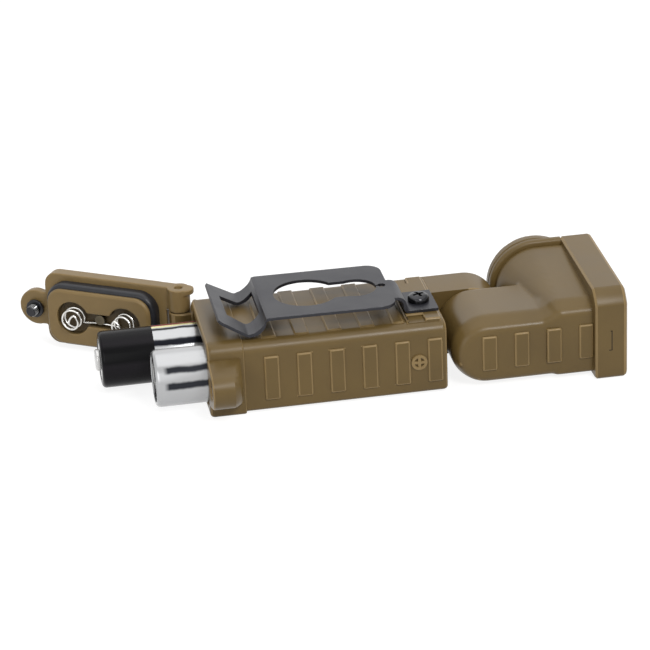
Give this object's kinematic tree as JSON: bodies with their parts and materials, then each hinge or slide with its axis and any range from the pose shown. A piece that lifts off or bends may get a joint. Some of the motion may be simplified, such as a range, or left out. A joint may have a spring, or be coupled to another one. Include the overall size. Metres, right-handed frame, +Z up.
{
  "type": "angle-head pocket flashlight",
  "caption": "Brown plastic angle-head pocket light with a swivelling rectangular lamp head, spring steel belt clip, side selector knob and hinged battery door standing open.",
  "frame": {"origin": "middle of the tail collar's underside, on the surface that the light lies on", "axes": "+X from the tail towards the lens, +Y towards the selector knob, +Z up through the belt clip"},
  "size_m": [0.1465, 0.0724, 0.0248],
  "materials": {
    "brown_plastic": "moulded, fine matte grain, slightly lighter worn edges",
    "dark_steel": "dark satin coated spring steel",
    "black_screw": "black oxide",
    "bright_steel": "plain bright steel",
    "spring_wire": "bright plated wire",
    "brass": "plain turned brass",
    "circuit_board": "solder mask",
    "black_rubber": "smooth moulded rubber",
    "dark_jacket": "printed shrink jacket with plain bands",
    "silver_jacket": "printed shrink jacket with plain bands",
    "clear_lens": "clear moulded window",
    "reflector_chrome": "metallised plastic",
    "white_emitter": "phosphor under a clear dome",
    "red_lamp": "tinted clear resin",
    "blue_lamp": "tinted clear resin",
    "dark_lamp": "dark tinted resin",
    "black_plastic": "moulded"
  },
  "bodies": {
    "case": {"battery_case": "brown_plastic", "hinge_pin": "bright_steel", "latch_insert": "brass", "contact_board": "circuit_board", "front_contacts": "brass", "swivel_bush": "brass", "swivel_seal": "black_rubber", "pocket_clip": "dark_steel", "clip_screw": "black_screw", "clip_insert": "brass"},
    "door": {"battery_door": "brown_plastic", "door_gasket": "black_rubber", "door_spring": "spring_wire", "spring_rivet": "bright_steel"},
    "latch": {"latch_screw": "black_screw", "latch_ring": "black_rubber"},
    "far_battery": {"far_cell": "dark_jacket", "far_cell_cap": "bright_steel"},
    "near_battery": {"near_cell": "silver_jacket", "near_cell_base": "bright_steel"},
    "head": {"head_shell": "brown_plastic", "side_plate": "brown_plastic", "face_bezel": "brown_plastic", "lens": "clear_lens", "lens_gasket": "black_rubber", "reflector": "reflector_chrome", "led_board": "circuit_board", "white_led": "white_emitter", "red_led": "red_lamp", "blue_led": "blue_lamp", "infrared_led": "dark_lamp", "selector_switch": "black_plastic", "swivel_axle": "bright_steel", "axle_washer": "bright_steel", "axle_screw": "black_screw"},
    "selector": {"selector_knob": "brown_plastic", "knob_seal": "black_rubber"},
    "button": {"push_button": "black_rubber"}
  },
  "joints": [
    {"name": "head_swivel", "type": "hinge", "parent": "case", "child": "head", "pos_m": [0.0654, 0, 0.00948], "axis": [0, 1, 0], "range_deg": [-92.5, 92.5]},
    {"name": "selector_turn", "type": "hinge", "parent": "head", "child": "selector", "pos_m": [0.0852, 0.018, 0.0123], "axis": [0, 1, 0], "range_deg": [0, 135]},
    {"name": "button_press", "type": "slide", "parent": "selector", "child": "button", "axis": [0, -1, 0], "range_m": [0, 0.0012], "stiffness_N_per_m": 1500},
    {"name": "door_swing", "type": "hinge", "parent": "case", "child": "door", "pos_m": [-0.0067, 0.02123, 0.01], "axis": [0, 0, 1], "range_deg": [-8, 24]},
    {"name": "latch_turn", "type": "hinge", "parent": "door", "child": "latch", "pos_m": [-0.0415, 0.0428, 0.00948], "axis": [-0.527, -0.8499, 0], "continuous": true},
    {"name": "far_cell_slide", "type": "slide", "parent": "case", "child": "far_battery", "axis": [-1, 0, 0], "range_m": [-0.0297, 0.024]},
    {"name": "near_cell_slide", "type": "slide", "parent": "case", "child": "near_battery", "axis": [-1, 0, 0], "range_m": [-0.0168, 0.0368]}
  ]
}
